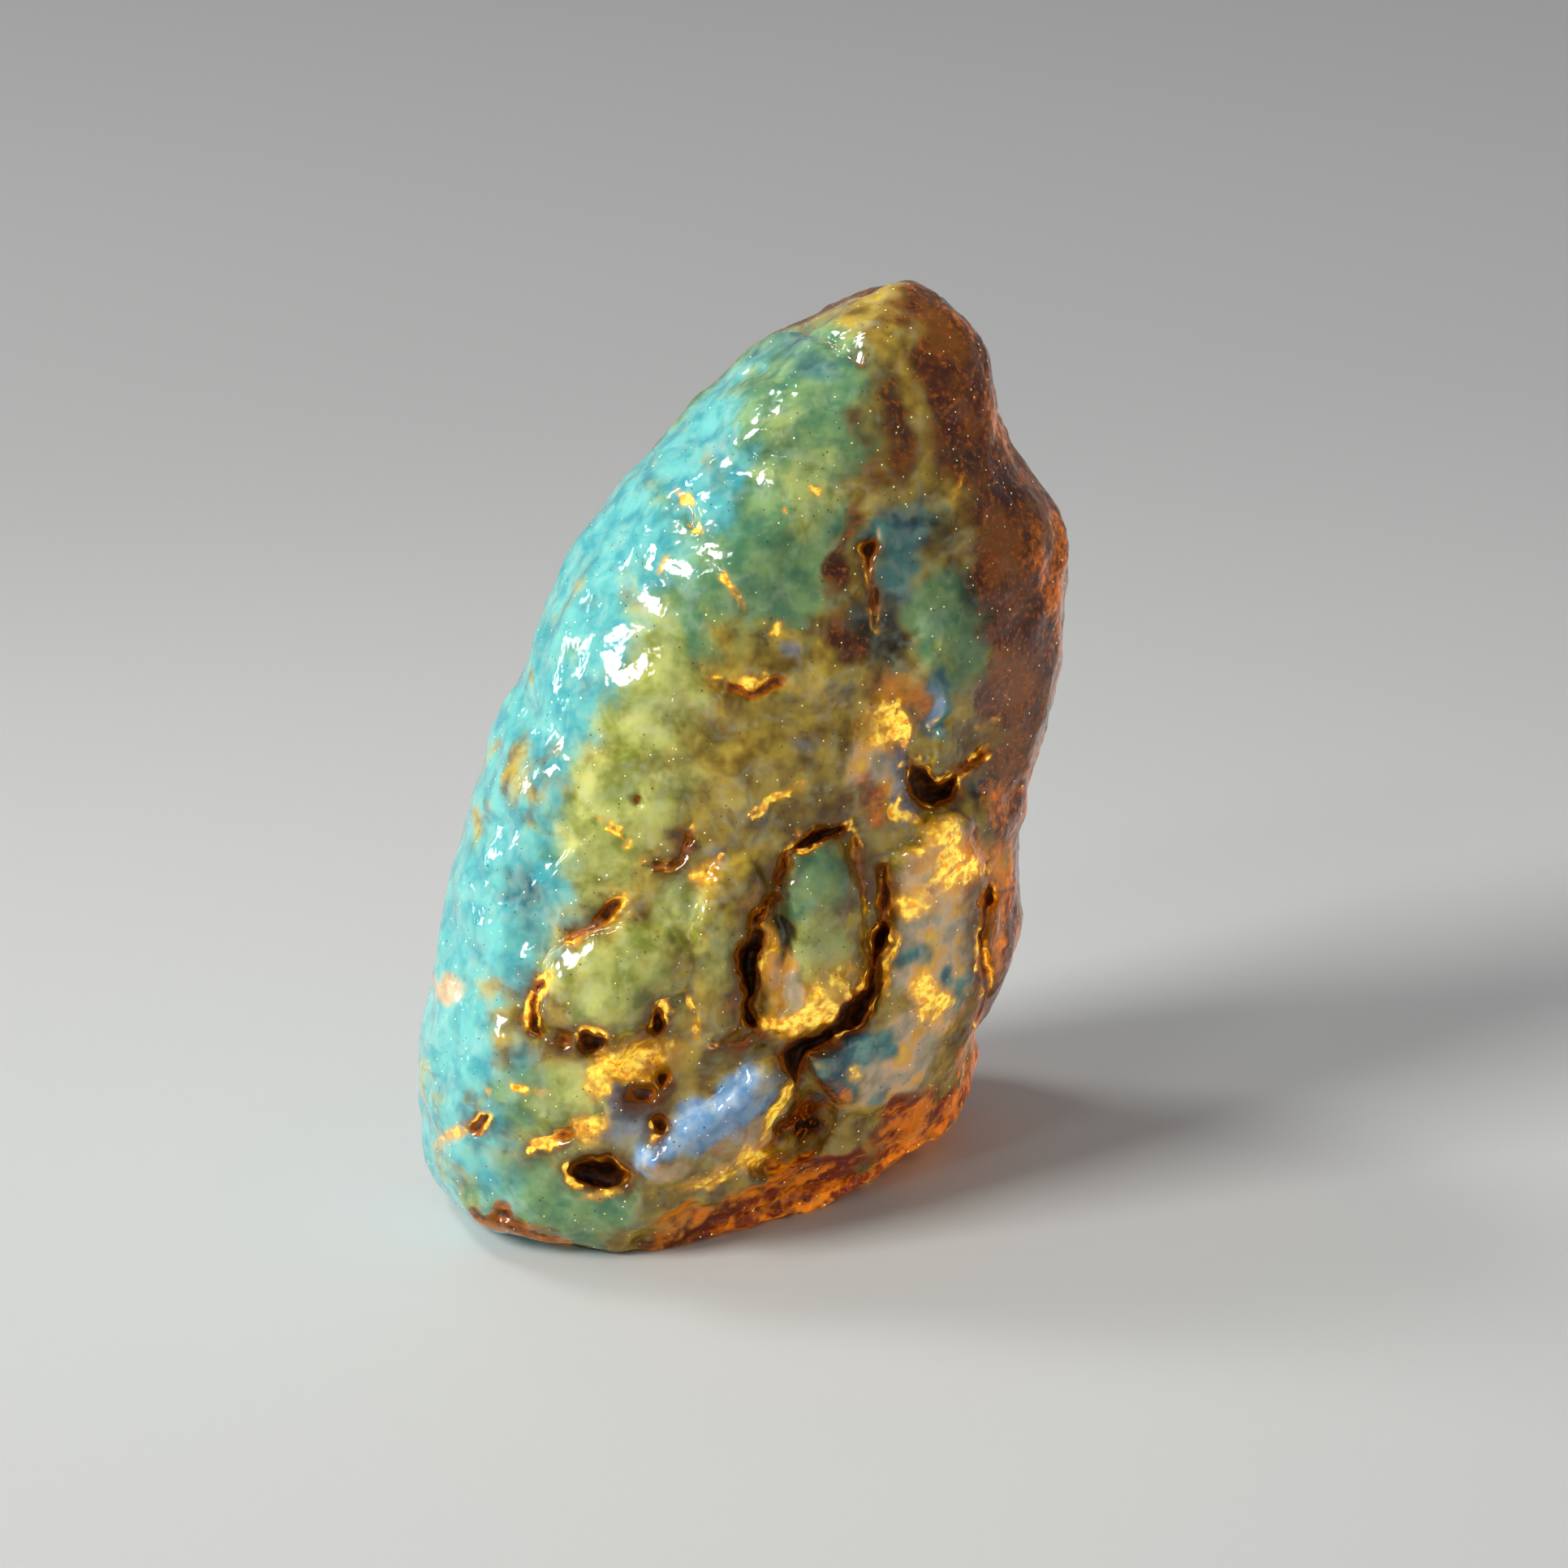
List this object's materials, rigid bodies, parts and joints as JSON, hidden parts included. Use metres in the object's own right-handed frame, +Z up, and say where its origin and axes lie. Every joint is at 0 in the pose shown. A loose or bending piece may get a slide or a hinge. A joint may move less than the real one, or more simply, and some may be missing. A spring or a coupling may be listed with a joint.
{
  "type": "dominican blue amber",
  "caption": "Rough lump of blue amber with weathered folds, channels and pits, standing on a flat underside",
  "frame": {"origin": "middle of the lump's box, on the surface it stands on", "axes": "+Z up along its height, -Y toward the side with the channels, +X to that side's right"},
  "size_m": [0.0508, 0.0428, 0.0719],
  "materials": {
    "amber": "translucent amber with a wet-looking polish, turquoise and green in front with gold in its cracks, brown and orange toward the back and the underside"
  },
  "bodies": {
    "root": {"blue_amber": "amber"}
  },
  "joints": []
}
